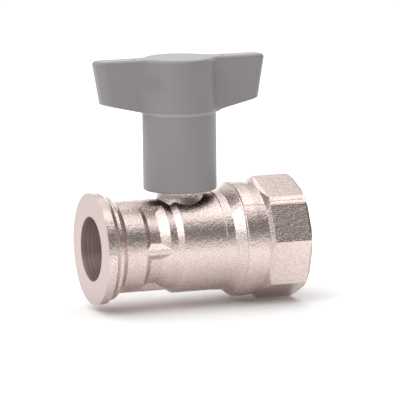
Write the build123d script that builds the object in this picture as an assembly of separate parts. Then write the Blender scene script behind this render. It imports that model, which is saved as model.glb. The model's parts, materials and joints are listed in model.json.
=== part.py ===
from build123d import *
import math
import os

os.makedirs("parts", exist_ok=True)

# Lengths are in millimetres and angles in degrees
# The flow axis is X, the stem axis is Z, and the flange face is at X = 0

# Stem axis and screwed joint along the flow
stem_x = 37.0
joint_distance = 20.0
joint_x = stem_x + joint_distance

# Ball, its port and the chamber round it
port_radius = 10.0
port_step = 0.2
ball_wall = 6.5
ball_radius = port_radius + ball_wall
chamber_gap = 0.5
chamber_radius = ball_radius + chamber_gap
joint_thread_rise = 1.6
joint_thread_radius = chamber_radius + joint_thread_rise

# Outline of the forged body
flange_radius = 21.75
flange_rim_end = 3.4
flange_step_start = 5.2
flange_step_end = 6.6
flange_step_radius = 20.25
neck_start = 9.0
neck_radius = 17.95
belly_reach = 5.0
belly_rise = 2.3
belly_start = stem_x - belly_reach
belly_foot = belly_start - belly_rise
chamber_wall = 2.35
belly_radius = chamber_radius + chamber_wall
belly_band_length = 7.6
belly_band_step = 0.18
shoulder_length = 4.1
shoulder_land = 0.4
shoulder_wall = 3.5
shoulder_radius = joint_thread_radius + shoulder_wall
forged_round = 0.4

# Wrench pockets in the neck
pocket_land = 2.9
pocket_length = 10.0
pocket_front_slope = 2.3
pocket_rear_slope = 3.6
pocket_depth = 1.85
pocket_edge_low = 3.3
pocket_floor_low = 11.0
pocket_floor_high = 57.0
pocket_edge_high = 66.0

# Stem boss on the body
boss_radius = 8.7
boss_flare_rise = 1.95
boss_flare_top = belly_radius + boss_flare_rise
boss_height = 11.7
boss_top = boss_flare_top + boss_height
boss_flare_radius = 12.8
boss_flare_drop = 7.1
boss_flare_base = boss_flare_top - boss_flare_drop
boss_chamfer = 0.5

# Seats of the ball
seat_inner_radius = port_radius + 2 * port_step
seat_wall = 3.1
seat_outer_radius = seat_inner_radius + seat_wall
seat_length = 3.85
seat_gap = 0.3
seat_lip = 0.6
seat_back_gap = 0.05
seat_side_gap = 0.1
seat_cover = 4.15
seat_reach = math.sqrt((ball_radius + seat_gap) ** 2 - seat_outer_radius ** 2)
seat_front_x = stem_x - seat_reach - seat_lip
seat_back_x = seat_front_x - seat_length - seat_back_gap

# Inlet of the body
inlet_radius = 12.5
inlet_taper = 3.5
inlet_length = seat_back_x - inlet_taper

# Screwed joint between body and end connector
joint_thread_length = 6.7
joint_thread_start = joint_x - joint_thread_length
joint_lead = 0.4
joint_clearance = 0.05
nose_clearance = 0.15
nose_radius = chamber_radius - nose_clearance
nose_cover = 2.6
joint_ring_wire = 0.6
joint_ring_recess = 1.4

# Octagonal end connector
collar_rise = 0.5
collar_radius = shoulder_radius + collar_rise
collar_chamfer = 0.35
collar_length = 9.2
collar_end = joint_x + collar_length
collar_land_length = 4.6
collar_waist_drop = 0.5
collar_waist_radius = collar_radius - collar_waist_drop
octagon_rise = 1.8
octagon_start = collar_end + octagon_rise
octagon_flats = 45.0
octagon_corner = octagon_flats / 2 / math.cos(math.pi / 8)
octagon_turn = 3.5
connector_length = 26.3
connector_end = joint_x + connector_length
end_chamfer_length = 0.8
end_chamfer_depth = 1.45
end_face_radius = octagon_corner - end_chamfer_depth
parting_land_angle = 7.5
parting_land_drop = 0.1
pipe_thread_radius = 15.15
pipe_thread_length = 12.55
pipe_mouth_chamfer = 1.55
outlet_radius = 12.5
outlet_taper = 3.5

# Stem
stem_radius = 5.0
stem_clearance = 0.05
stem_collar_radius = 6.9
stem_collar_gap = 1.0
stem_collar_height = 2.2
stem_collar_bottom = ball_radius + stem_collar_gap
stem_collar_top = stem_collar_bottom + stem_collar_height
stem_shoulder_rise = 0.5
stem_square_height = 10.5
stem_shoulder_top = boss_top + stem_shoulder_rise
stem_top = stem_shoulder_top + stem_square_height
stem_square = 7.0
blade_thickness = 3.4
blade_width = 11.0
blade_lift = 2.4
blade_bottom = port_radius + blade_lift
blade_gap = 0.3
blade_end_gap = 0.4
washer_thickness = 0.8
washer_gap = 0.05
washer_inner_gap = 0.1
washer_outer_gap = 0.2
counterbore_gap = 0.3
counterbore_radius = stem_collar_radius + counterbore_gap
counterbore_top = stem_collar_top + washer_thickness + 2 * washer_gap
counterbore_depth = 10.4
stem_ring_wire = 0.7
stem_ring_gap = 0.02
stem_ring_offsets = (3.8, 7.8)
stem_groove_radius = stem_radius - 2 * stem_ring_wire
stem_groove_width = 1.6

# Stops that limit the quarter turn
turn_angle = 90.0
stop_gap_angle = 2.5
stop_lug_angle = 26.0
stop_lug_height = 3.5
stop_rib_angle = 24.0
stop_side_gap = 0.4
stop_end_gap = 2.5

# Handle
skirt_bottom = boss_flare_top
skirt_length = 30.5
hub_bottom = skirt_bottom + skirt_length
hub_height = 21.2
handle_top = hub_bottom + hub_height
hub_radius_top = 14.0
hub_radius_bottom = 14.6
wing_half_span_top = 35.1
wing_half_span_bottom = 31.5
wing_thickness_top = 9.6
wing_thickness_bottom = 9.2
wing_corner = 3.8
wing_blend = 7.0
wing_root_rise = 0.3
wing_root_z = hub_bottom + wing_root_rise
wing_slope = 13.2
handle_edge_round = 1.3
skirt_radius = 14.35
skirt_wall = 1.95
skirt_inner_radius = skirt_radius - skirt_wall
wing_root_x = skirt_radius
skirt_round = 0.8
lug_side_gap = 1.0
stop_lug_radius = skirt_inner_radius - lug_side_gap
ceiling_gap = 3.0
skirt_ceiling = boss_top + ceiling_gap
socket_clearance = 0.05
socket_end_gap = 0.6
socket_top = stem_top + socket_end_gap
screw_seat_wall = 3.4
screw_seat = socket_top + screw_seat_wall

# Handle screw, its washer and the cap
screw_radius = 2.45
screw_thread_gap = 0.05
screw_pass_gap = 0.3
screw_length = 16.0
screw_hole_rest = 1.5
screw_head_radius = 4.3
screw_head_height = 3.2
screw_head_round = 0.8
screw_key_flats = 4.0
screw_key_depth = 2.0
screw_washer_radius = 4.9
screw_washer_thickness = 1.0
screw_pass_radius = screw_radius + screw_pass_gap
screw_bottom = screw_seat + screw_washer_thickness - screw_length
screw_well_gap = 0.7
screw_well_radius = screw_washer_radius + screw_well_gap
cap_hub_radius = 10.4
cap_wing_width = 5.4
cap_wing_corner = 2.3
cap_half_length = 17.7
cap_blend = 3.0
cap_thickness = 2.2
cap_clearance = 0.12
cap_plug_gap = 0.15
cap_plug_radius = screw_well_radius - cap_plug_gap
cap_plug_depth = 5.0
cap_plug_wall = 1.3
pry_notch_length = 1.0
pry_notch_width = 1.5
pry_notch_depth = 0.7

# How far a cutting or joining shape runs past the face that it meets
over = 1.0

# How near an edge or a corner lies to the place that picks it for rounding
near = 0.01


def polar(radius, angle):
    """Point at a radius and an angle in degrees."""
    turn = math.radians(angle)
    return (radius * math.cos(turn), radius * math.sin(turn))


def turned(points, soft=()):
    """Solid turned about the flow axis from points of (x, radius), rounded at the soft places."""
    profile = make_face(Polyline(*points, close=True))
    corners = [v for v in profile.vertices() if any(abs(v.X - x) < near for x in soft)]
    if corners:
        profile = fillet(corners, forged_round)
    return revolve(Plane.XZ * profile, Axis.X)


def upright(radius, bottom, top):
    """Cylinder on the stem axis between two heights."""
    place = Pos(stem_x, 0, (bottom + top) / 2)
    return place * Cylinder(radius, top - bottom)


def upright_box(length, width, bottom, top):
    """Box on the stem axis between two heights."""
    place = Pos(stem_x, 0, (bottom + top) / 2)
    return place * Box(length, width, top - bottom)


def upright_ring(inner, outer, bottom, top):
    """Plain ring on the stem axis between two heights."""
    return upright(outer, bottom, top) - upright(inner, bottom, top)


def upright_sector(inner, outer, start, end, bottom, top):
    """Part of a ring on the stem axis between two angles."""
    reach = 1.5 * outer
    corners = [(0, 0), polar(reach, start), polar(reach, (start + end) / 2), polar(reach, end)]
    wedge = extrude(make_face(Polyline(*corners, close=True)), top - bottom)
    ring = upright_ring(inner, outer, bottom, top)
    return ring & (Pos(stem_x, 0, bottom) * wedge)


def sphere_on_ball(radius):
    """Sphere round the centre of the ball."""
    return Pos(stem_x, 0, 0) * Sphere(radius)


# Wrench pockets: a shallow groove that is cut only between two angles


def pocket_groove():
    """Ring shape with sloped ends that all the pockets share."""
    end = belly_foot - pocket_land
    start = end - pocket_length
    front_run = pocket_front_slope / pocket_depth * over
    rear_run = pocket_rear_slope / pocket_depth * over
    floor_radius = neck_radius - pocket_depth
    return turned([
        (start - front_run, neck_radius + over),
        (start + pocket_front_slope, floor_radius),
        (end - pocket_rear_slope, floor_radius),
        (end + rear_run, neck_radius + over),
    ])


def stretched(inner, outer, factor):
    """Point on the line from inner to outer, at a multiple of its length."""
    dy = outer[0] - inner[0]
    dz = outer[1] - inner[1]
    return (inner[0] + factor * dy, inner[1] + factor * dz)


def pocket_sector(side, level):
    """Prism along the flow with sloped walls, for one of the four pockets."""
    floor_radius = neck_radius - pocket_depth
    low_floor = polar(floor_radius, pocket_floor_low)
    low_edge = polar(neck_radius, pocket_edge_low)
    high_floor = polar(floor_radius, pocket_floor_high)
    high_edge = polar(neck_radius, pocket_edge_high)
    middle = (pocket_edge_low + pocket_edge_high) / 2
    corners = [
        stretched(low_floor, low_edge, -0.5),
        stretched(low_floor, low_edge, 2.0),
        polar(1.5 * neck_radius, middle),
        stretched(high_floor, high_edge, 2.0),
        stretched(high_floor, high_edge, -0.5),
    ]
    placed = [(side * y, level * z) for y, z in corners]
    face = make_face(Plane.YZ * Polyline(*placed, close=True))
    return Pos(neck_start, 0, 0) * extrude(face, belly_start - neck_start, dir=(1, 0, 0))


def cut_pockets(body):
    """Body with the two pockets on each side."""
    groove = pocket_groove()
    for side in (-1, 1):
        for level in (-1, 1):
            body = body - (groove & pocket_sector(side, level))
    return body


# Forged body from the union flange to the screwed joint


def body_outside():
    """Turned outside of the body, with the corners of the forging rounded."""
    band_start = joint_x - belly_band_length
    shoulder_start = joint_x - shoulder_length
    shoulder_end = joint_x - shoulder_land
    forged = (flange_step_start, flange_step_end, neck_start, belly_foot, belly_start, shoulder_start)
    return turned([
        (0, 0),
        (0, flange_radius),
        (flange_rim_end, flange_radius),
        (flange_step_start, flange_step_radius),
        (flange_step_end, flange_step_radius),
        (neck_start, neck_radius),
        (belly_foot, neck_radius),
        (belly_start, belly_radius),
        (band_start, belly_radius),
        (band_start + belly_band_step, belly_radius + belly_band_step),
        (shoulder_start, belly_radius + belly_band_step),
        (shoulder_end, shoulder_radius),
        (joint_x, shoulder_radius),
        (joint_x, 0),
    ], forged)


def stem_boss():
    """Boss round the stem with a flared foot and two stop lugs."""
    foot = (boss_flare_radius, boss_flare_base)
    flare_top = (boss_radius, boss_flare_top)
    outline = [
        Line((0, boss_flare_base), foot),
        TangentArc(flare_top, foot, tangent=(0, -1)),
        Polyline(
            flare_top,
            (boss_radius, boss_top - boss_chamfer),
            (boss_radius - boss_chamfer, boss_top),
            (0, boss_top),
            (0, boss_flare_base),
        ),
    ]
    profile = Plane.XZ * make_face(outline)
    boss = Pos(stem_x, 0, 0) * revolve(profile, Axis.Z)
    lug_bottom = boss_top - stop_lug_height
    half_free = (turn_angle + stop_rib_angle) / 2 + stop_gap_angle
    for side in (-1, 1):
        first = side * half_free
        last = side * (half_free + stop_lug_angle)
        start, end = sorted((first, last))
        boss += upright_sector(boss_radius - over, stop_lug_radius, start, end, lug_bottom, boss_top)
    return boss


def body_inside():
    """Waterway, seat pocket, ball chamber and joint thread of the body."""
    pocket_radius = seat_outer_radius + seat_side_gap
    throat = port_radius + port_step
    ring_start = joint_x - joint_ring_recess
    ring_radius = joint_thread_radius + 2 * joint_ring_wire
    waterway = turned([
        (-over, 0),
        (-over, inlet_radius),
        (inlet_length, inlet_radius),
        (seat_back_x - port_step, throat),
        (seat_back_x, throat),
        (seat_back_x, pocket_radius),
        (seat_back_x + seat_cover, pocket_radius),
        (stem_x, pocket_radius),
        (stem_x, chamber_radius),
        (joint_thread_start, chamber_radius),
        (joint_thread_start, joint_thread_radius),
        (ring_start, joint_thread_radius),
        (ring_start, ring_radius),
        (joint_x + over, ring_radius),
        (joint_x + over, 0),
    ])
    return waterway + sphere_on_ball(chamber_radius)


def make_body():
    """Forged body."""
    body = body_outside()
    body = cut_pockets(body)
    body = body + stem_boss()
    body = body - body_inside()
    body = body - upright(stem_radius + stem_clearance, counterbore_top - over, boss_top + over)
    return body - upright(counterbore_radius, counterbore_top - counterbore_depth, counterbore_top)


# End connector with the octagon for the wrench


def octagon_section():
    """Octagon with the two raised lands where its forging was trimmed."""
    section = RegularPolygon(octagon_corner, 8)
    flat_angle = 45.0 / 2 - parting_land_angle
    flat_radius = octagon_flats / 2 / math.cos(math.radians(flat_angle))
    for start in (45.0, 225.0):
        land = Polyline(
            polar(octagon_flats / 4, start),
            polar(octagon_corner, start),
            polar(octagon_corner - parting_land_drop, start - parting_land_angle),
            polar(flat_radius - over, start - parting_land_angle - over),
            close=True,
        )
        section = section + make_face(land)
    return section


def octagon_prism():
    """Octagonal bar along the flow, with a little turn about it and a sloped foot under each flat."""
    face = Plane.YZ * mirror(Rot(0, 0, octagon_turn) * octagon_section(), Plane.YZ)
    length = connector_end - collar_end
    prism = Pos(collar_end, 0, 0) * extrude(face, length, dir=(1, 0, 0))
    foot = make_face(Polyline(
        (octagon_start, octagon_flats / 2),
        (collar_end, collar_waist_radius),
        (collar_end - over, collar_waist_radius),
        (collar_end - over, octagon_corner + over),
        (octagon_start, octagon_corner + over),
        close=True,
    ))
    cutter = extrude(Plane.XZ * foot, octagon_flats / 2, both=True)
    for number in range(8):
        prism = prism - Rot(45.0 * number + 45.0 / 2 - octagon_turn, 0, 0) * cutter
    return prism


def make_end_connector():
    """End connector that is screwed into the body."""
    thread = joint_thread_radius - joint_clearance
    collar_edge = [
        (joint_x, 0),
        (joint_x, collar_radius - collar_chamfer),
        (joint_x + collar_chamfer, collar_radius),
        (joint_x + collar_land_length, collar_radius),
        (collar_end, collar_waist_radius),
    ]
    collar = turned(collar_edge + [(collar_end, 0)])
    limits = turned(collar_edge + [
        (octagon_start, octagon_corner),
        (connector_end - end_chamfer_length, octagon_corner),
        (connector_end, end_face_radius),
        (connector_end, 0),
    ])
    seat_back = 2 * stem_x - seat_back_x
    nose_start = seat_back - nose_cover
    spigot = turned([
        (nose_start, 0),
        (nose_start, nose_radius),
        (joint_thread_start, nose_radius),
        (joint_thread_start + joint_lead, thread),
        (joint_x, thread),
        (joint_x, 0),
    ])
    connector = collar + (octagon_prism() & limits) + spigot
    throat = port_radius + port_step
    seat_pocket = seat_outer_radius + seat_side_gap
    mouth_start = connector_end - pipe_mouth_chamfer
    mouth_radius = pipe_thread_radius + pipe_mouth_chamfer
    thread_start = mouth_start - pipe_thread_length
    waterway = turned([
        (nose_start - over, 0),
        (nose_start - over, seat_pocket),
        (seat_back, seat_pocket),
        (seat_back, throat),
        (seat_back + port_step, throat),
        (seat_back + outlet_taper, outlet_radius),
        (thread_start - pipe_thread_radius + outlet_radius, outlet_radius),
        (thread_start, pipe_thread_radius),
        (mouth_start, pipe_thread_radius),
        (connector_end, mouth_radius),
        (connector_end + over, mouth_radius),
        (connector_end + over, 0),
    ])
    return connector - waterway


# Ball, seats and sealing rings


def make_ball():
    """Ball with its port and the slot for the stem blade."""
    ball = sphere_on_ball(ball_radius)
    port = Pos(stem_x, 0, 0) * Rot(0, 90, 0) * Cylinder(port_radius, 3 * ball_radius)
    slot_width = blade_thickness + 2 * blade_gap
    slot = upright_box(slot_width, 3 * ball_radius, blade_bottom - blade_end_gap, 2 * ball_radius)
    return ball - port - slot


def flange_side_seat():
    """Seat ring on the flange side of the ball, hollowed for it."""
    back = seat_front_x - seat_length
    ring = turned([
        (back, seat_inner_radius),
        (back, seat_outer_radius),
        (seat_front_x, seat_outer_radius),
        (seat_front_x, seat_inner_radius),
    ])
    return ring - sphere_on_ball(ball_radius + seat_gap)


def stem_o_ring(offset):
    """Sealing ring in a groove of the stem, at a height over the counterbore."""
    major = stem_groove_radius + stem_ring_wire + stem_ring_gap
    return Pos(stem_x, 0, counterbore_top + offset) * Torus(major, stem_ring_wire)


def joint_o_ring():
    """Sealing ring at the screwed joint."""
    major = joint_thread_radius + joint_ring_wire
    place = Plane(origin=(joint_x - joint_ring_recess / 2, 0, 0), z_dir=(1, 0, 0))
    return place * Torus(major, joint_ring_wire - joint_clearance / 2)


# Stem with blade, collar and square


def make_stem():
    """Stem that carries the handle and turns the ball."""
    blade = upright_box(blade_thickness, blade_width, blade_bottom, stem_collar_bottom)
    collar = upright(stem_collar_radius, stem_collar_bottom, stem_collar_top)
    shaft = upright(stem_radius, stem_collar_top, stem_shoulder_top)
    square = upright_box(stem_square, stem_square, stem_shoulder_top, stem_top)
    stem = blade + collar + shaft + (square & upright(stem_radius, stem_shoulder_top, stem_top))
    for offset in stem_ring_offsets:
        low = counterbore_top + offset - stem_groove_width / 2
        groove = upright_ring(stem_groove_radius, stem_radius + over, low, low + stem_groove_width)
        stem = stem - groove
    hole_bottom = screw_bottom - screw_hole_rest
    return stem - upright(screw_radius + screw_thread_gap, hole_bottom, stem_top + over)


def make_thrust_washer():
    """Slippery washer between the stem collar and the body."""
    top = counterbore_top - washer_gap
    inner = stem_radius + washer_inner_gap
    return upright_ring(inner, counterbore_radius - washer_outer_gap, top - washer_thickness, top)


# Handle, its screw and the cap


def winged_outline(hub, half_span, thickness, corner, blend):
    """Round hub with two wings, blended by hollow curves."""
    outline = Circle(hub) + Rectangle(2 * half_span, thickness)
    tips = [v for v in outline.vertices() if abs(v.X) > half_span - near]
    outline = fillet(tips, corner)
    roots = [v for v in outline.vertices() if abs(v.X) < hub and abs(abs(v.Y) - thickness / 2) < near]
    return fillet(roots, blend)


def handle_head():
    """Winged head of the handle with its sloped underside."""
    lower = winged_outline(
        hub_radius_bottom, wing_half_span_bottom, wing_thickness_bottom, wing_corner, wing_blend)
    upper = winged_outline(
        hub_radius_top, wing_half_span_top, wing_thickness_top, wing_corner, wing_blend)
    head = loft([Pos(0, 0, hub_bottom) * lower, Pos(0, 0, handle_top) * upper], ruled=True)
    reach = wing_half_span_top + over
    rise = (reach - wing_root_x) * math.tan(math.radians(wing_slope))
    for side in (-1, 1):
        below = [
            (side * wing_root_x, wing_root_z),
            (side * reach, wing_root_z + rise),
            (side * reach, hub_bottom - over),
            (side * wing_root_x, hub_bottom - over),
        ]
        wedge = extrude(Plane.XZ * make_face(Polyline(*below, close=True)), hub_radius_bottom, both=True)
        head = head - wedge
    top_edges = head.edges().filter_by_position(Axis.Z, handle_top - near, handle_top + near)
    head = fillet(top_edges, handle_edge_round)
    return Pos(stem_x, 0, 0) * head


def handle_skirt():
    """Long round skirt that hangs over the stem boss."""
    skirt = upright(skirt_radius, skirt_bottom, hub_bottom + over)
    rim = skirt.edges().filter_by_position(Axis.Z, skirt_bottom - near, skirt_bottom + near)
    return fillet(rim, skirt_round)


def cap_outline(grow):
    """Outline of the cap, or of its seat when grown."""
    return winged_outline(
        cap_hub_radius + grow, cap_half_length + grow, cap_wing_width + 2 * grow,
        cap_wing_corner, cap_blend)


def make_handle():
    """One-piece handle."""
    handle = handle_head() + handle_skirt()
    handle = handle - upright(skirt_inner_radius, skirt_bottom - over, skirt_ceiling)
    middle = turn_angle / 2
    rib_bottom = boss_top - stop_lug_height - stop_end_gap
    handle = handle + upright_sector(
        boss_radius + stop_side_gap, skirt_inner_radius + skirt_wall / 2,
        middle - stop_rib_angle / 2, middle + stop_rib_angle / 2, rib_bottom, skirt_ceiling)
    socket = stem_square + 2 * socket_clearance
    square_hole = upright_box(socket, socket, skirt_ceiling - over, socket_top)
    round_hole = upright(stem_radius + socket_clearance, skirt_ceiling - over, socket_top)
    handle = handle - (square_hole & round_hole)
    handle = handle - upright(screw_pass_radius, socket_top - over, screw_seat + over)
    handle = handle - upright(screw_well_radius, screw_seat, handle_top + over)
    recess = Pos(stem_x, 0, handle_top - cap_thickness) * cap_outline(cap_clearance)
    handle = handle - extrude(recess, cap_thickness + over)
    notch = Box(pry_notch_length, pry_notch_width, 2 * pry_notch_depth)
    for side in (-1, 1):
        notch_x = stem_x + side * (cap_half_length + pry_notch_length / 2)
        handle = handle - Pos(notch_x, 0, handle_top) * notch
    return handle


def make_cap():
    """Flush cap over the screw, with a short plug that grips the well."""
    seat_floor = handle_top - cap_thickness
    plate = extrude(Pos(stem_x, 0, seat_floor) * cap_outline(0.0), cap_thickness)
    plug_inner = cap_plug_radius - cap_plug_wall
    return plate + upright_ring(plug_inner, cap_plug_radius, seat_floor - cap_plug_depth, seat_floor)


def make_screw():
    """Screw with a round head and a six-sided key recess."""
    head_bottom = screw_seat + screw_washer_thickness
    head_top = head_bottom + screw_head_height
    head = upright(screw_head_radius, head_bottom, head_top)
    rim = head.edges().filter_by_position(Axis.Z, head_top - near, head_top + near)
    head = fillet(rim, screw_head_round)
    shank = upright(screw_radius, screw_bottom, head_bottom)
    key = Pos(stem_x, 0, head_top - screw_key_depth) * RegularPolygon(screw_key_flats / math.sqrt(3), 6)
    return head + shank - extrude(key, screw_key_depth + over)


def make_screw_washer():
    """Washer under the screw head."""
    top = screw_seat + screw_washer_thickness
    return upright_ring(screw_pass_radius, screw_washer_radius, screw_seat, top)


first_seat = flange_side_seat()
pieces = {
    "valve_body": make_body(),
    "end_connector": make_end_connector(),
    "ball": make_ball(),
    "seat_ring_flange_side": first_seat,
    "seat_ring_thread_side": mirror(first_seat, Plane.YZ.offset(stem_x)),
    "joint_o_ring": joint_o_ring(),
    "stem": make_stem(),
    "stem_thrust_washer": make_thrust_washer(),
    "stem_o_ring_lower": stem_o_ring(stem_ring_offsets[0]),
    "stem_o_ring_upper": stem_o_ring(stem_ring_offsets[1]),
    "handle": make_handle(),
    "handle_screw": make_screw(),
    "handle_screw_washer": make_screw_washer(),
    "handle_cap": make_cap(),
}
for name, shape in pieces.items():
    export_step(shape, f"parts/{name}.step")
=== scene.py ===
import json
import math

import bpy
from mathutils import Matrix, Vector


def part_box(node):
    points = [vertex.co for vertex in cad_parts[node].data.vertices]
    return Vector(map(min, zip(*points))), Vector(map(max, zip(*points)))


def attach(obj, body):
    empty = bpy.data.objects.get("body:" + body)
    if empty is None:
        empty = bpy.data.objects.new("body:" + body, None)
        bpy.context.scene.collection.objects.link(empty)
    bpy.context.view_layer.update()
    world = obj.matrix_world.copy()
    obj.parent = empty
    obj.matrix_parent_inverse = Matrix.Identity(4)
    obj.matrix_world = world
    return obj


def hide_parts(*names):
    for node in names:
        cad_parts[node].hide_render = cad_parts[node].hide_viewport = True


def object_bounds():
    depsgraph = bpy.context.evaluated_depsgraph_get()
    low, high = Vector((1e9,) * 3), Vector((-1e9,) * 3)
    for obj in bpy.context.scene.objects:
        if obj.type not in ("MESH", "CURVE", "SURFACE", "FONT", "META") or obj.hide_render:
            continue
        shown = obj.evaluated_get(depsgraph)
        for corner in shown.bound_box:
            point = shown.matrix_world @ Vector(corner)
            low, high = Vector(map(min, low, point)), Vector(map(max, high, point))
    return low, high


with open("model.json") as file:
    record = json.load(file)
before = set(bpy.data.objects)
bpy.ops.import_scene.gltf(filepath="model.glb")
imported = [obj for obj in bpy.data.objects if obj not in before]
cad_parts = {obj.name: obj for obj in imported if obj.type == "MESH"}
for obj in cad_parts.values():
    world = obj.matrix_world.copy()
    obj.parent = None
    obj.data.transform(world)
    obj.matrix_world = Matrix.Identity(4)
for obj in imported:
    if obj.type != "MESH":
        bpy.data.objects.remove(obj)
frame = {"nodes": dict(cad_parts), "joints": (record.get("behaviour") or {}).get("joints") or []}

cad_box = [list(corner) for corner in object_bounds()]

# Lengths in this file are in millimetres unless a name says otherwise
MM = 0.001

# Places on the valve, from the frame
STEM_X = frame["joints"][0]["pos_m"][0] / MM
BODY_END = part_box("valve_body")[1][0] / MM
CONNECTOR_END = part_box("end_connector")[1][0] / MM
LOWEST = cad_box[0][2] / MM

# Tones of the finishes, as screen colours of 0 to 255
PLATED_LIGHT = (242, 225, 219)
PLATED_DARK = (228, 210, 203)
# Painted shade in the pits of the blasted grain
PLATED_PIT_SHADE = (130, 112, 110)
TURNED_DARK = (180, 161, 158)
TURNED_LIGHT = (202, 184, 180)
# Bore tones, with light streaks that are partly turning marks and partly painted sheen
BORE_DARK = (140, 122, 118)
BORE_MARKS_AND_SHEEN = (170, 150, 145)
# Parting line: a real trim line, darkened as painted shade
PARTING_SHADE_TONE = (120, 102, 96)
HANDLE_LIGHT = (142, 137, 139)
HANDLE_DARK = (133, 128, 130)
CAP_LIGHT = (143, 138, 140)
CAP_DARK = (136, 131, 133)
# Painted highlight band on the handle
HIGHLIGHT_RING_TONE = (196, 190, 193)
# Painted shade in the gate dent
GATE_SHADE_TONE = (110, 106, 108)
CHROME_LIGHT = (226, 227, 230)
CHROME_DARK = (212, 213, 217)
BRASS_LIGHT = (214, 186, 120)
BRASS_DARK = (190, 158, 92)
ZINC_LIGHT = (205, 207, 210)
ZINC_DARK = (180, 182, 188)
SEAT_LIGHT = (238, 238, 234)
SEAT_DARK = (229, 229, 224)
RUBBER_DARK = (28, 28, 28)
RUBBER_LIGHT = (40, 40, 40)
WHITE = (1.0, 1.0, 1.0, 1.0)

# Blasted outside of the forged brass
GRAIN_SIZE = 0.45
GRAIN_DEPTH = 0.14
COARSE_GRAIN = 3.2
COARSE_SHARE = 0.8
PATCH_SIZE = 9.0
CAVITY_SHADE = 0.35
BLASTED_ROUGHNESS = 0.2
CAVITY_ROUGHENING = 0.1

# Turned faces and bores of the forged brass
BORE_RADIUS = 12.7
BORE_ROUGHENING = 0.2
BORE_RING_DEPTH = 0.045
MOUTH_RADIUS = 16.9
OCTAGON_END_LENGTH = 0.7
FACE_MARGIN = 0.05
TURNED_ROUGHNESS = 0.24
TURNED_ROUGHENING = 0.12
RING_SPACING = 0.32
RING_DEPTH = 0.004

# Trimmed parting line on the end connector, darkened as painted shade under the trimmed flash, as an
# angle about the flow from the front
PARTING_ANGLE = 43.9
PARTING_WIDTH = 0.3
PARTING_START = BODY_END + 0.5
PARTING_END = CONNECTOR_END - 1.0

# Pipe thread in the octagonal end
THREAD_PITCH = 2.309
THREAD_CREST_RADIUS = 15.15
THREAD_DEPTH = 1.45
THREAD_ROOT_FLAT = 0.34
THREAD_FLANK = 27.5
THREAD_START = 69.2
THREAD_INSET = 0.2
THREAD_RUN_OUT = 0.6
THREAD_FIRST_SHARE = 0.12
SHARP_ANGLE = 12.0
WELD_DISTANCE = 0.002
CORNER_MATCH = 0.005
SAME_DIRECTION = 0.9999

# Gate mark on the front of the head, where the left wing meets the hub: a soft dent with painted
# shade in it
GATE_X = 24.2
GATE_Z = 64.0
GATE_RADIUS = 3.2
GATE_SHADE_SHARE = 0.26
GATE_DEPTH = 0.12

# Painted highlight: a light band between the head and the skirt of the handle
HIGHLIGHT_RING_Z = 51.8
HIGHLIGHT_RING_WIDTH = 0.8
HIGHLIGHT_RING_REACH = 15.2
HIGHLIGHT_RING_SHARE = 0.35

# Camera, fitted to the outlines of the photograph
CAMERA_AZIMUTH = -20.448
CAMERA_ELEVATION = 9.025
CAMERA_ROLL = -0.639
CAMERA_DISTANCE = 1404.64
CAMERA_LENS = 322.9
CAMERA_AIM = (45.264, 0.0, 16.286)

# Light of the room against the upward part of a direction, from horizon to zenith
FRONT_WALL = ((0.0, 0.75), (0.12, 0.4), (0.3, 0.16), (0.68, 0.12), (0.84, 0.5), (1.0, 1.0))
BACK_WALL = (
    (0.0, 0.7), (0.08, 2.2), (0.2, 2.2), (0.3, 0.6), (0.6, 0.5), (0.82, 0.7), (1.0, 1.0),
)
LEFT_WALL = ((0.0, 0.45), (0.2, 0.45), (0.45, 0.75), (0.7, 1.6), (0.9, 1.5), (1.0, 1.0))
WORLD_TINT = (1.0, 0.995, 0.995, 1.0)

# Softboxes: place, width, depth and power in watts
OVERHEAD_PLACE = (150.0, 50.0, 615.0)
OVERHEAD_SIZE = (1000.0, 600.0)
OVERHEAD_POWER = 2.0
FRONT_PLACE = (-520.0, -360.0, 520.0)
FRONT_SIZE = (420.0, 420.0)
FRONT_POWER = 1.3

# Floor, whose glow fades out near the valve as painted shade round it
FLOOR_HALF_WIDTH = 20000.0
FLOOR_DROP = 0.3
FLOOR_COLOUR = (0.95, 0.95, 0.95, 1.0)
FLOOR_ROUGHNESS = 0.9
FLOOR_GLOW = 0.22
GLOW_START = 30.0
GLOW_FULL = 110.0


# Small helpers for node trees


def add_node(tree, kind, place=(0, 0), **settings):
    """New node of a kind, with its plain settings."""
    node = tree.nodes.new(kind)
    node.location = place
    for name, value in settings.items():
        setattr(node, name, value)
    return node


def plug(tree, source, target):
    """Link from an output to an input, or a plain value on the input."""
    if isinstance(source, bpy.types.NodeSocket):
        tree.links.new(source, target)
    else:
        target.default_value = source


def maths(tree, operation, first, second=0.0, third=0.0, clamp=False):
    """Output of a Math node."""
    node = add_node(tree, "ShaderNodeMath", operation=operation, use_clamp=clamp)
    for socket, value in zip(node.inputs, (first, second, third)):
        plug(tree, value, socket)
    return node.outputs[0]


def distance_from(tree, first, second):
    """Distance of a point from a line, from its two offsets."""
    first_square = maths(tree, "MULTIPLY", first, first)
    second_square = maths(tree, "MULTIPLY", second, second)
    return maths(tree, "SQRT", maths(tree, "ADD", first_square, second_square))


def split_place(tree, place):
    """The three coordinates of a place."""
    node = add_node(tree, "ShaderNodeSeparateXYZ")
    plug(tree, place, node.inputs[0])
    return node.outputs


def inverse(tree, share):
    """What is left of 1 beside a share."""
    return maths(tree, "SUBTRACT", 1.0, share)


def blend_colours(tree, amount, first, second, mode="MIX"):
    """Output of a colour mix."""
    node = add_node(tree, "ShaderNodeMix", data_type="RGBA", blend_type=mode)
    plug(tree, amount, node.inputs["Factor"])
    plug(tree, first, node.inputs["A"])
    plug(tree, second, node.inputs["B"])
    return node.outputs["Result"]


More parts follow.
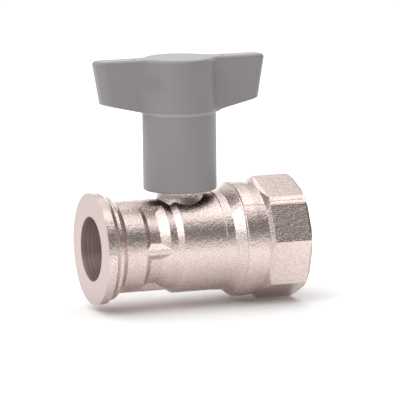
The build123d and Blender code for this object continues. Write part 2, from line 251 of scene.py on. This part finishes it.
def soft_step(tree, value, low, high):
    """0 below low and 1 above high, with a smooth rise between them."""
    node = add_node(tree, "ShaderNodeMapRange", interpolation_type="SMOOTHSTEP")
    plug(tree, value, node.inputs["Value"])
    plug(tree, low, node.inputs["From Min"])
    plug(tree, high, node.inputs["From Max"])
    return node.outputs["Result"]


def noise(tree, vector, size, detail=2.0, roughness=0.5):
    """Noise with grains of about one size, in millimetres."""
    node = add_node(tree, "ShaderNodeTexNoise")
    plug(tree, vector, node.inputs["Vector"])
    node.inputs["Scale"].default_value = 1.0 / (size * MM)
    node.inputs["Detail"].default_value = detail
    node.inputs["Roughness"].default_value = roughness
    return node.outputs["Fac"]


def new_group(name, inputs, outputs):
    """Empty shader node group with its sockets, and its two end nodes."""
    group = bpy.data.node_groups.new(name, "ShaderNodeTree")
    for socket, kind, value in inputs:
        item = group.interface.new_socket(name=socket, in_out="INPUT", socket_type=kind)
        if value is not None:
            item.default_value = value
    for socket, kind in outputs:
        group.interface.new_socket(name=socket, in_out="OUTPUT", socket_type=kind)
    start = add_node(group, "NodeGroupInput", (-900, 0))
    end = add_node(group, "NodeGroupOutput", (900, 0))
    return group, start, end


def place_group(tree, group, **values):
    """Node for a group in a material, with its inputs set by name."""
    node = add_node(tree, "ShaderNodeGroup", node_tree=group)
    for name, value in values.items():
        plug(tree, value, node.inputs[name.replace("_", " ")])
    return node


# Effects that several finishes share


def flow_place_group():
    """Distance from the flow axis, angle round it from the front, and place along it."""
    group, start, end = new_group(
        "place about the flow",
        [("Vector", "NodeSocketVector", None)],
        [("Along", "NodeSocketFloat"), ("Radius", "NodeSocketFloat"), ("Angle", "NodeSocketFloat")],
    )
    x, y, z = split_place(group, start.outputs["Vector"])
    plug(group, maths(group, "DIVIDE", x, MM), end.inputs["Along"])
    plug(group, maths(group, "DIVIDE", distance_from(group, y, z), MM), end.inputs["Radius"])
    front = maths(group, "MULTIPLY", y, -1.0)
    plug(group, maths(group, "DEGREES", maths(group, "ARCTAN2", z, front)), end.inputs["Angle"])
    return group


def blasted_group():
    """Grain of a blasted forging: height, relief, slow patches and fine flecks."""
    group, start, end = new_group(
        "blasted grain",
        [("Vector", "NodeSocketVector", None)],
        [
            ("Height", "NodeSocketFloat"), ("Relief", "NodeSocketFloat"),
            ("Patches", "NodeSocketFloat"), ("Flecks", "NodeSocketFloat"),
        ],
    )
    vector = start.outputs["Vector"]
    fine = noise(group, vector, GRAIN_SIZE, 2.0, 0.6)
    coarse = noise(group, vector, COARSE_GRAIN * GRAIN_SIZE, 1.0, 0.5)
    weighted = maths(group, "MULTIPLY_ADD", coarse, COARSE_SHARE, fine)
    plug(group, weighted, end.inputs["Height"])
    plug(group, soft_step(group, fine, 0.3, 0.7), end.inputs["Relief"])
    plug(group, noise(group, vector, PATCH_SIZE, 2.0, 0.5), end.inputs["Patches"])
    flecks = noise(group, vector, 0.9 * GRAIN_SIZE, 0.0, 0.5)
    plug(group, soft_step(group, flecks, 0.45, 0.75), end.inputs["Flecks"])
    return group


def turned_group():
    """Fine rings that a lathe tool leaves, across one distance."""
    group, start, end = new_group(
        "turned rings",
        [("Distance", "NodeSocketFloat", 0.0), ("Vector", "NodeSocketVector", None)],
        [("Height", "NodeSocketFloat"), ("Tone", "NodeSocketFloat")],
    )
    distance = start.outputs["Distance"]
    wander = noise(group, start.outputs["Vector"], 14.0, 0.0, 0.5)
    shifted = maths(group, "MULTIPLY_ADD", wander, 0.3, distance)
    turns = maths(group, "MULTIPLY", shifted, 2.0 * math.pi / RING_SPACING)
    plug(group, maths(group, "SINE", turns), end.inputs["Height"])
    streaks = add_node(group, "ShaderNodeTexNoise", noise_dimensions="1D")
    plug(group, distance, streaks.inputs["W"])
    streaks.inputs["Scale"].default_value = 1.6
    streaks.inputs["Detail"].default_value = 4.0
    plug(group, streaks.outputs["Fac"], end.inputs["Tone"])
    return group


FLOW_PLACE = flow_place_group()
BLASTED = blasted_group()
TURNED = turned_group()


def new_material(name, roughness, metallic=0.0):
    """Material with a plain Principled shader and Object coordinates."""
    material = bpy.data.materials.new(name)
    material.use_nodes = True
    tree = material.node_tree
    shader = tree.nodes["Principled BSDF"]
    shader.inputs["Roughness"].default_value = roughness
    shader.inputs["Metallic"].default_value = metallic
    place = add_node(tree, "ShaderNodeTexCoord", (-1600, 0)).outputs["Object"]
    return material, tree, shader, place


def bump(tree, height, depth, strength=1.0, normal=None):
    """Normal from a height of 0 to 1, with its depth in millimetres."""
    node = add_node(tree, "ShaderNodeBump")
    node.inputs["Strength"].default_value = strength
    node.inputs["Distance"].default_value = depth * MM
    plug(tree, height, node.inputs["Height"])
    if normal is not None:
        plug(tree, normal, node.inputs["Normal"])
    return node.outputs["Normal"]


def linear_channel(value):
    """Linear level of a screen level of 0 to 255."""
    share = value / 255.0
    if share <= 0.04045:
        return share / 12.92
    return ((share + 0.055) / 1.055) ** 2.4


def linear(tone):
    """Linear colour of a tone."""
    return tuple(linear_channel(value) for value in tone) + (1.0,)


def blend_tones(tree, amount, first, second):
    """Colour between two tones."""
    return blend_colours(tree, amount, linear(first), linear(second))


# Finishes


def forged_brass(name, machined, parting=False):
    """Nickel plated forging, blasted outside and turned where the machined mask says."""
    material, tree, shader, place = new_material(name, BLASTED_ROUGHNESS, 1.0)
    about = place_group(tree, FLOW_PLACE, Vector=place)
    along, radius, angle = about.outputs
    mask, distance = machined(tree, along, radius)
    bore = maths(tree, "LESS_THAN", radius, BORE_RADIUS)
    grain = place_group(tree, BLASTED, Vector=place)
    rings = place_group(tree, TURNED, Distance=distance, Vector=place)
    cavity = inverse(tree, grain.outputs["Relief"])
    colour = brass_colour(tree, grain, rings, cavity, mask, bore)
    if parting:
        # Trimmed parting line, darkened as painted shade
        line = parting_line(tree, along, radius, angle, grain.outputs["Flecks"])
        colour = blend_colours(tree, line, colour, linear(PARTING_SHADE_TONE))
    plug(tree, colour, shader.inputs["Base Color"])
    plug(tree, brass_roughness(tree, rings, cavity, mask, bore), shader.inputs["Roughness"])
    grain_height = maths(tree, "MULTIPLY", grain.outputs["Height"], inverse(tree, mask))
    normal = bump(tree, grain_height, GRAIN_DEPTH)
    ring_share = maths(tree, "MULTIPLY_ADD", bore, BORE_RING_DEPTH / RING_DEPTH - 1.0, mask)
    ring_height = maths(tree, "MULTIPLY", rings.outputs["Height"], ring_share)
    plug(tree, bump(tree, ring_height, RING_DEPTH, 1.0, normal), shader.inputs["Normal"])
    return material


def brass_colour(tree, grain, rings, cavity, mask, bore):
    """Colour of the plating, with painted shade in the pits of the grain, and darker in the bore
    with light streaks that are partly turning marks and partly painted sheen.
    """
    blasted = blend_tones(tree, grain.outputs["Patches"], PLATED_LIGHT, PLATED_DARK)
    # Painted shade in the pits of the grain
    pits = maths(tree, "MULTIPLY", cavity, CAVITY_SHADE)
    blasted = blend_colours(tree, pits, blasted, linear(PLATED_PIT_SHADE))
    turned = blend_tones(tree, rings.outputs["Tone"], TURNED_DARK, TURNED_LIGHT)
    # Light streaks in the bore: partly turning marks, partly painted sheen
    streaks = soft_step(tree, rings.outputs["Tone"], 0.36, 0.66)
    turned = blend_colours(tree, bore, turned, blend_tones(tree, streaks, BORE_DARK, BORE_MARKS_AND_SHEEN))
    return blend_colours(tree, mask, blasted, turned)


def brass_roughness(tree, rings, cavity, mask, bore):
    """Roughness of the plating, higher in the pits of the grain and in the bore."""
    blasted = maths(tree, "MULTIPLY_ADD", cavity, CAVITY_ROUGHENING, BLASTED_ROUGHNESS)
    turned = maths(tree, "MULTIPLY_ADD", rings.outputs["Tone"], TURNED_ROUGHENING, TURNED_ROUGHNESS)
    turned = maths(tree, "MULTIPLY_ADD", bore, BORE_ROUGHENING, turned)
    mix = add_node(tree, "ShaderNodeMix", data_type="FLOAT")
    plug(tree, mask, mix.inputs["Factor"])
    plug(tree, blasted, mix.inputs["A"])
    plug(tree, turned, mix.inputs["B"])
    return mix.outputs["Result"]


def body_machined(tree, along, radius):
    """Flange face and bore of the body, and the distance across their rings."""
    face = maths(tree, "LESS_THAN", along, FACE_MARGIN)
    bore = maths(tree, "LESS_THAN", radius, BORE_RADIUS)
    mask = maths(tree, "MAXIMUM", face, bore)
    return mask, across_rings(tree, along, radius, face)


def connector_machined(tree, along, radius):
    """Thread, waterway and end face of the connector, and the distance across their rings."""
    bore = maths(tree, "LESS_THAN", radius, MOUTH_RADIUS)
    face = maths(tree, "GREATER_THAN", along, CONNECTOR_END - FACE_MARGIN)
    end = maths(tree, "GREATER_THAN", along, CONNECTOR_END - OCTAGON_END_LENGTH)
    mask = maths(tree, "MAXIMUM", end, bore)
    return mask, across_rings(tree, along, radius, face)


def across_rings(tree, along, radius, face):
    """Radius on the flat face, and the place along the flow elsewhere."""
    side = maths(tree, "MULTIPLY", along, inverse(tree, face))
    return maths(tree, "MULTIPLY_ADD", radius, face, side)


def parting_line(tree, along, radius, angle, flecks):
    """Thin broken line where the flash of the forging was trimmed, darkened as painted shade under
    the trimmed edge.
    """
    off = maths(tree, "ABSOLUTE", maths(tree, "SUBTRACT", angle, PARTING_ANGLE))
    arc = maths(tree, "MULTIPLY", maths(tree, "RADIANS", off), radius)
    line = inverse(tree, soft_step(tree, arc, 0.3 * PARTING_WIDTH, 0.8 * PARTING_WIDTH))
    begins = soft_step(tree, along, PARTING_START - 0.2, PARTING_START + 0.2)
    stops = maths(tree, "LESS_THAN", along, PARTING_END)
    outside = maths(tree, "GREATER_THAN", radius, MOUTH_RADIUS)
    broken = inverse(tree, flecks)
    share = maths(tree, "MULTIPLY", maths(tree, "MULTIPLY", begins, stops), outside)
    return maths(tree, "MULTIPLY", maths(tree, "MULTIPLY", line, share), broken)


def moulded_plastic(name, light, dark, marks=False):
    """Grey moulded plastic with a fine texture, and on the handle a painted highlight band and the
    gate mark with painted shade in it.
    """
    material, tree, shader, place = new_material(name, 0.36)
    shader.inputs["IOR"].default_value = 1.5
    colour = blend_tones(tree, noise(tree, place, 16.0, 2.0, 0.5), light, dark)
    texture = noise(tree, place, 0.35, 2.0, 0.55)
    ripple = noise(tree, place, 7.0, 1.0, 0.5)
    normal = bump(tree, texture, 0.012)
    normal = bump(tree, ripple, 0.05, 0.6, normal)
    if marks:
        x, y, z = split_place(tree, place)
        # Painted highlight band where the skirt meets the head
        ring = maths(tree, "MULTIPLY", painted_highlight_band(tree, x, y, z), HIGHLIGHT_RING_SHARE)
        colour = blend_colours(tree, ring, colour, linear(HIGHLIGHT_RING_TONE))
        # Gate dent, bumped, with painted shade in it
        gate = gate_mark(tree, x, y, z)
        shade = maths(tree, "MULTIPLY", gate, GATE_SHADE_SHARE)
        colour = blend_colours(tree, shade, colour, linear(GATE_SHADE_TONE))
        normal = bump(tree, inverse(tree, gate), GATE_DEPTH, 0.4, normal)
    plug(tree, colour, shader.inputs["Base Color"])
    plug(tree, maths(tree, "MULTIPLY_ADD", texture, 0.12, 0.32), shader.inputs["Roughness"])
    plug(tree, normal, shader.inputs["Normal"])
    return material


def painted_highlight_band(tree, x, y, z):
    """Painted highlight: a light band where the round skirt meets the head."""
    from_stem = distance_from(tree, maths(tree, "SUBTRACT", x, STEM_X * MM), y)
    away = maths(tree, "ABSOLUTE", maths(tree, "SUBTRACT", z, HIGHLIGHT_RING_Z * MM))
    ring = inverse(tree, soft_step(tree, away, 0.4 * HIGHLIGHT_RING_WIDTH * MM, HIGHLIGHT_RING_WIDTH * MM))
    return maths(tree, "MULTIPLY", ring, maths(tree, "LESS_THAN", from_stem, HIGHLIGHT_RING_REACH * MM))


def gate_mark(tree, x, y, z):
    """Soft round dent where the plastic entered the mould, also the mask of a painted shade."""
    sideways = maths(tree, "SUBTRACT", x, GATE_X * MM)
    upward = maths(tree, "SUBTRACT", z, GATE_Z * MM)
    away = maths(tree, "DIVIDE", distance_from(tree, sideways, upward), GATE_RADIUS * MM)
    round_mark = inverse(tree, soft_step(tree, away, 0.35, 1.4))
    return maths(tree, "MULTIPLY", round_mark, maths(tree, "LESS_THAN", y, 0.0))


def chromed_ball():
    """Polished chrome with the faintest wipe marks."""
    material, tree, shader, place = new_material("polished_chrome", 0.06, 1.0)
    wipes = noise(tree, place, 5.0, 3.0, 0.6)
    plug(tree, blend_tones(tree, wipes, CHROME_LIGHT, CHROME_DARK), shader.inputs["Base Color"])
    plug(tree, maths(tree, "MULTIPLY_ADD", wipes, 0.06, 0.04), shader.inputs["Roughness"])
    plug(tree, bump(tree, noise(tree, place, 1.2, 1.0), 0.002), shader.inputs["Normal"])
    return material


def turned_brass():
    """Bare yellow brass of the stem, with turning marks."""
    material, tree, shader, place = new_material("turned_brass", 0.3, 1.0)
    height = maths(tree, "DIVIDE", split_place(tree, place)["Z"], MM)
    rings = place_group(tree, TURNED, Distance=height, Vector=place)
    tone = rings.outputs["Tone"]
    plug(tree, blend_tones(tree, tone, BRASS_LIGHT, BRASS_DARK), shader.inputs["Base Color"])
    plug(tree, maths(tree, "MULTIPLY_ADD", tone, 0.15, 0.22), shader.inputs["Roughness"])
    plug(tree, bump(tree, rings.outputs["Height"], RING_DEPTH), shader.inputs["Normal"])
    return material


def zinc_steel():
    """Zinc plated steel of the handle screw and its washer."""
    material, tree, shader, place = new_material("zinc_plated_steel", 0.35, 1.0)
    cloud = noise(tree, place, 1.5, 3.0, 0.6)
    plug(tree, blend_tones(tree, cloud, ZINC_LIGHT, ZINC_DARK), shader.inputs["Base Color"])
    plug(tree, maths(tree, "MULTIPLY_ADD", cloud, 0.2, 0.25), shader.inputs["Roughness"])
    plug(tree, bump(tree, noise(tree, place, 0.25), 0.006), shader.inputs["Normal"])
    return material


def smooth_plastic(name, light, dark, roughness, grain):
    """Smooth white seat plastic or dull black rubber."""
    material, tree, shader, place = new_material(name, roughness)
    cloud = noise(tree, place, 4.0, 2.0, 0.5)
    plug(tree, blend_tones(tree, cloud, light, dark), shader.inputs["Base Color"])
    plug(tree, maths(tree, "MULTIPLY_ADD", cloud, 0.1, roughness - 0.05), shader.inputs["Roughness"])
    plug(tree, bump(tree, noise(tree, place, grain), 0.008), shader.inputs["Normal"])
    return material


# Pipe thread, cut into a copy of the end connector


def thread_spiral(tree, turns, radius, pitch):
    """Spiral at the crest of the thread, with its normals kept square to the axis."""
    spiral = add_node(tree, "GeometryNodeCurveSpiral")
    spiral.inputs["Resolution"].default_value = 72
    plug(tree, turns, spiral.inputs["Rotations"])
    plug(tree, radius, spiral.inputs["Start Radius"])
    plug(tree, radius, spiral.inputs["End Radius"])
    plug(tree, maths(tree, "MULTIPLY", pitch, turns), spiral.inputs["Height"])
    upright = add_node(tree, "GeometryNodeSetCurveNormal", mode="Z_UP")
    plug(tree, spiral.outputs["Curve"], upright.inputs["Curve"])
    return upright.outputs["Curve"]


def thread_profile(tree, depth, root_flat, inset):
    """Section of the groove, from a little inside the crest out to the flat root."""
    half_root = maths(tree, "MULTIPLY", root_flat, 0.5)
    reach = maths(tree, "ADD", depth, inset)
    slope = math.tan(math.radians(THREAD_FLANK))
    half_mouth = maths(tree, "MULTIPLY_ADD", reach, slope, half_root)
    inside = maths(tree, "MULTIPLY", inset, -1.0)
    corners = (
        (inside, maths(tree, "MULTIPLY", half_mouth, -1.0)),
        (depth, maths(tree, "MULTIPLY", half_root, -1.0)),
        (depth, half_root),
        (inside, half_mouth),
    )
    profile = add_node(tree, "GeometryNodeCurvePrimitiveQuadrilateral", mode="POINTS")
    for number, (out, sideways) in enumerate(corners, 1):
        point = add_node(tree, "ShaderNodeCombineXYZ")
        plug(tree, out, point.inputs["X"])
        plug(tree, sideways, point.inputs["Y"])
        plug(tree, point.outputs[0], profile.inputs[f"Point {number}"])
    return profile.outputs["Curve"]


def thread_tree(material):
    """Geometry Nodes that cut a helical groove into the mesh that they are given."""
    tree = bpy.data.node_groups.new("cut pipe thread", "GeometryNodeTree")
    face = tree.interface
    face.new_socket(name="Geometry", in_out="INPUT", socket_type="NodeSocketGeometry")
    lengths = {
        "Pitch": THREAD_PITCH,
        "Crest Radius": THREAD_CREST_RADIUS,
        "Depth": THREAD_DEPTH,
        "Root Flat": THREAD_ROOT_FLAT,
        "Inset": THREAD_INSET,
        "Start": THREAD_START,
    }
    counts = {
        "Turns": math.ceil((CONNECTOR_END - THREAD_START) / THREAD_PITCH) + 0.5,
        "Run Out": THREAD_RUN_OUT,
    }
    sizes = lengths | counts
    for name in sizes:
        face.new_socket(name=name, in_out="INPUT", socket_type="NodeSocketFloat")
    face.new_socket(name="Geometry", in_out="OUTPUT", socket_type="NodeSocketGeometry")
    start = add_node(tree, "NodeGroupInput")
    end = add_node(tree, "NodeGroupOutput")
    metre = {name: maths(tree, "MULTIPLY", start.outputs[name], MM) for name in lengths}
    turns = start.outputs["Turns"]
    sweep = add_node(tree, "GeometryNodeCurveToMesh")
    curve = thread_spiral(tree, turns, metre["Crest Radius"], metre["Pitch"])
    plug(tree, curve, sweep.inputs["Curve"])
    profile = thread_profile(tree, metre["Depth"], metre["Root Flat"], metre["Inset"])
    plug(tree, profile, sweep.inputs["Profile Curve"])
    sweep.inputs["Fill Caps"].default_value = True
    along = add_node(tree, "GeometryNodeSplineParameter").outputs["Factor"]
    grown = maths(tree, "DIVIDE", maths(tree, "MULTIPLY", along, turns), start.outputs["Run Out"])
    plug(tree, maths(tree, "MAXIMUM", THREAD_FIRST_SHARE, grown, clamp=True), sweep.inputs["Scale"])
    shift = add_node(tree, "ShaderNodeCombineXYZ")
    plug(tree, metre["Start"], shift.inputs["X"])
    turn = add_node(tree, "GeometryNodeTransform")
    plug(tree, sweep.outputs["Mesh"], turn.inputs["Geometry"])
    plug(tree, shift.outputs[0], turn.inputs["Translation"])
    turn.inputs["Rotation"].default_value = (0.0, math.pi / 2, 0.0)
    cut = add_node(tree, "GeometryNodeMeshBoolean", operation="DIFFERENCE", solver="EXACT")
    plug(tree, start.outputs["Geometry"], cut.inputs["Mesh 1"])
    plug(tree, turn.outputs["Geometry"], cut.inputs["Mesh 2"])
    real = add_node(tree, "GeometryNodeRealizeInstances")
    plug(tree, cut.outputs["Mesh"], real.inputs["Geometry"])
    paint = add_node(tree, "GeometryNodeSetMaterial")
    paint.inputs["Material"].default_value = material
    plug(tree, real.outputs["Geometry"], paint.inputs["Geometry"])
    plug(tree, paint.outputs["Geometry"], end.inputs["Geometry"])
    return tree, sizes


def corner_key(point):
    """Place of a corner, rounded so that equal corners of two meshes agree."""
    return tuple(round(value / (CORNER_MATCH * MM)) for value in point)


def loop_key(mesh, loop):
    """Rounded place of the corner that a loop starts from."""
    return corner_key(mesh.vertices[mesh.loops[loop].vertex_index].co)


def take_normals(mesh, source):
    """Gives a mesh the corner normals of the CAD node wherever both have the same corner."""
    known = {}
    for face in source.polygons:
        for loop in face.loop_indices:
            pair = (face.normal.copy(), source.corner_normals[loop].vector.copy())
            known.setdefault(loop_key(source, loop), []).append(pair)
    normals = [corner.vector.copy() for corner in mesh.corner_normals]
    for face in mesh.polygons:
        for loop in face.loop_indices:
            matches = known.get(loop_key(mesh, loop), [])
            alike = [pair for pair in matches if pair[0].dot(face.normal) > SAME_DIRECTION]
            if alike:
                normals[loop] = max(alike, key=lambda pair: pair[0].dot(face.normal))[1]
    mesh.normals_split_custom_set(normals)


def threaded_connector(material):
    """The end connector with its pipe thread cut, in place of the plain one."""
    source = frame["nodes"]["end_connector"]
    blank = bpy.data.objects.new("connector_blank", source.data.copy())
    bpy.context.scene.collection.objects.link(blank)
    weld = blank.modifiers.new("weld", "WELD")
    weld.merge_threshold = WELD_DISTANCE * MM
    tree, sizes = thread_tree(material)
    cutter = blank.modifiers.new("thread", "NODES")
    cutter.node_group = tree
    for item in tree.interface.items_tree:
        if item.in_out == "INPUT" and item.name in sizes:
            cutter[item.identifier] = float(sizes[item.name])
    depsgraph = bpy.context.evaluated_depsgraph_get()
    mesh = bpy.data.meshes.new_from_object(blank.evaluated_get(depsgraph), depsgraph=depsgraph)
    bpy.data.objects.remove(blank)
    mesh.materials.clear()
    mesh.materials.append(material)
    mesh.shade_smooth()
    mesh.set_sharp_from_angle(angle=math.radians(SHARP_ANGLE))
    take_normals(mesh, source.data)
    piece = bpy.data.objects.new("end_connector_threaded", mesh)
    bpy.context.scene.collection.objects.link(piece)
    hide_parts("end_connector")
    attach(piece, "valve")


def dress_nodes():
    """Gives every CAD node its finish, and the end connector its thread."""
    forged_body = forged_brass("forged_brass_body", body_machined)
    forged_connector = forged_brass("forged_brass_connector", connector_machined, parting=True)
    grey = moulded_plastic("grey_handle_plastic", HANDLE_LIGHT, HANDLE_DARK, marks=True)
    grey_cap = moulded_plastic("grey_cap_plastic", CAP_LIGHT, CAP_DARK)
    white = smooth_plastic("white_seat_plastic", SEAT_LIGHT, SEAT_DARK, 0.35, 0.5)
    rubber = smooth_plastic("black_rubber", RUBBER_DARK, RUBBER_LIGHT, 0.6, 0.3)
    steel = zinc_steel()
    finishes = {
        "valve_body": forged_body,
        "end_connector": forged_connector,
        "ball": chromed_ball(),
        "seat_ring_flange_side": white,
        "seat_ring_thread_side": white,
        "stem_thrust_washer": white,
        "joint_o_ring": rubber,
        "stem_o_ring_lower": rubber,
        "stem_o_ring_upper": rubber,
        "stem": turned_brass(),
        "handle": grey,
        "handle_cap": grey_cap,
        "handle_screw": steel,
        "handle_screw_washer": steel,
    }
    for name, material in finishes.items():
        for slot in frame["nodes"][name].material_slots:
            slot.material = material
    threaded_connector(forged_connector)


# Studio


def height_ramp(tree, height, stops):
    """Level of brightness against the upward part of a direction."""
    ramp = add_node(tree, "ShaderNodeValToRGB")
    elements = ramp.color_ramp.elements
    while len(elements) < len(stops):
        elements.new(0.5)
    for element, (place, level) in zip(elements, stops):
        element.position = place
        element.color = (level, level, level, 1.0)
    plug(tree, height, ramp.inputs["Fac"])
    return ramp.outputs["Color"]


def studio_world():
    """Soft room light, bright overhead and behind, and white where the camera looks."""
    world = bpy.data.worlds.new("studio")
    world.use_nodes = True
    bpy.context.scene.world = world
    tree = world.node_tree
    direction = add_node(tree, "ShaderNodeTexCoord").outputs["Generated"]
    x, y, z = split_place(tree, direction)
    front = height_ramp(tree, z, FRONT_WALL)
    behind = height_ramp(tree, z, BACK_WALL)
    colour = blend_colours(tree, soft_step(tree, y, -0.25, 0.35), front, behind)
    left = height_ramp(tree, z, LEFT_WALL)
    leftward = maths(tree, "MULTIPLY", x, -1.0)
    colour = blend_colours(tree, soft_step(tree, leftward, -0.15, 0.45), colour, left)
    colour = blend_colours(tree, 1.0, colour, WORLD_TINT, "MULTIPLY")
    path = add_node(tree, "ShaderNodeLightPath")
    colour = blend_colours(tree, path.outputs["Is Camera Ray"], colour, WHITE)
    plug(tree, colour, tree.nodes["Background"].inputs["Color"])


def softbox(name, place, target, width, height, power):
    """Area lamp that the camera doesn't see."""
    lamp = bpy.data.lights.new(name, "AREA")
    lamp.shape = "RECTANGLE"
    lamp.size = width * MM
    lamp.size_y = height * MM
    lamp.energy = power
    box = bpy.data.objects.new(name, lamp)
    bpy.context.scene.collection.objects.link(box)
    box.location = Vector(place) * MM
    box.rotation_euler = (Vector(place) - Vector(target)).to_track_quat("Z", "Y").to_euler()
    box.visible_camera = False


def studio_floor():
    """Wide white floor that glows a little away from the valve, with painted shade near the valve
    where the glow fades out, clear from below.
    """
    half = FLOOR_HALF_WIDTH * MM
    level = (LOWEST - FLOOR_DROP) * MM
    around = ((-half, -half), (half, -half), (half, half), (-half, half))
    mesh = bpy.data.meshes.new("floor")
    mesh.from_pydata([(x, y, level) for x, y in around], [], [(0, 1, 2, 3)])
    floor = bpy.data.objects.new("floor", mesh)
    bpy.context.scene.collection.objects.link(floor)
    material = bpy.data.materials.new("white_floor")
    material.use_nodes = True
    tree = material.node_tree
    shader = tree.nodes["Principled BSDF"]
    shader.inputs["Roughness"].default_value = FLOOR_ROUGHNESS
    shader.inputs["Specular IOR Level"].default_value = 0.0
    shader.inputs["Base Color"].default_value = FLOOR_COLOUR
    shader.inputs["Emission Color"].default_value = WHITE
    path = add_node(tree, "ShaderNodeLightPath")
    seen = maths(tree, "MAXIMUM", path.outputs["Is Camera Ray"], path.outputs["Is Glossy Ray"])
    seen = maths(tree, "MAXIMUM", seen, path.outputs["Is Transmission Ray"])
    place = add_node(tree, "ShaderNodeTexCoord").outputs["Object"]
    x, y, _ = split_place(tree, place)
    # No glow near the valve: painted shade round it, seen on the floor and in reflections of it
    from_stem = distance_from(tree, maths(tree, "SUBTRACT", x, STEM_X * MM), y)
    away = soft_step(tree, from_stem, GLOW_START * MM, GLOW_FULL * MM)
    glow = maths(tree, "MULTIPLY", maths(tree, "MULTIPLY", seen, away), FLOOR_GLOW)
    plug(tree, glow, shader.inputs["Emission Strength"])
    clear = add_node(tree, "ShaderNodeBsdfTransparent")
    sides = add_node(tree, "ShaderNodeMixShader")
    plug(tree, add_node(tree, "ShaderNodeNewGeometry").outputs["Backfacing"], sides.inputs[0])
    plug(tree, shader.outputs[0], sides.inputs[1])
    plug(tree, clear.outputs[0], sides.inputs[2])
    plug(tree, sides.outputs[0], tree.nodes["Material Output"].inputs["Surface"])
    mesh.materials.append(material)


def place_camera():
    """Camera at the photograph's angle, with a small roll."""
    azimuth = math.radians(CAMERA_AZIMUTH)
    elevation = math.radians(CAMERA_ELEVATION)
    roll = math.radians(CAMERA_ROLL)
    back = Vector((
        math.sin(azimuth) * math.cos(elevation),
        -math.cos(azimuth) * math.cos(elevation),
        math.sin(elevation),
    ))
    level_right = Vector((math.cos(azimuth), math.sin(azimuth), 0.0))
    level_up = back.cross(level_right)
    right = math.cos(roll) * level_right + math.sin(roll) * level_up
    up = math.cos(roll) * level_up - math.sin(roll) * level_right
    lens = bpy.data.cameras.new("camera")
    lens.sensor_width = 36.0
    lens.sensor_fit = "HORIZONTAL"
    lens.lens = CAMERA_LENS
    lens.clip_end = 100.0
    camera = bpy.data.objects.new("camera", lens)
    bpy.context.scene.collection.objects.link(camera)
    turn = Matrix((right, up, back)).transposed().to_4x4()
    spot = Vector(CAMERA_AIM) * MM + CAMERA_DISTANCE * MM * back
    camera.matrix_world = Matrix.Translation(spot) @ turn
    bpy.context.scene.camera = camera


dress_nodes()
studio_world()
studio_floor()
middle = (STEM_X, 0.0, 0.0)
softbox("overhead_softbox", OVERHEAD_PLACE, middle, *OVERHEAD_SIZE, OVERHEAD_POWER)
softbox("front_left_softbox", FRONT_PLACE, middle, *FRONT_SIZE, FRONT_POWER)
place_camera()
bpy.context.scene.view_settings.view_transform = "Standard"
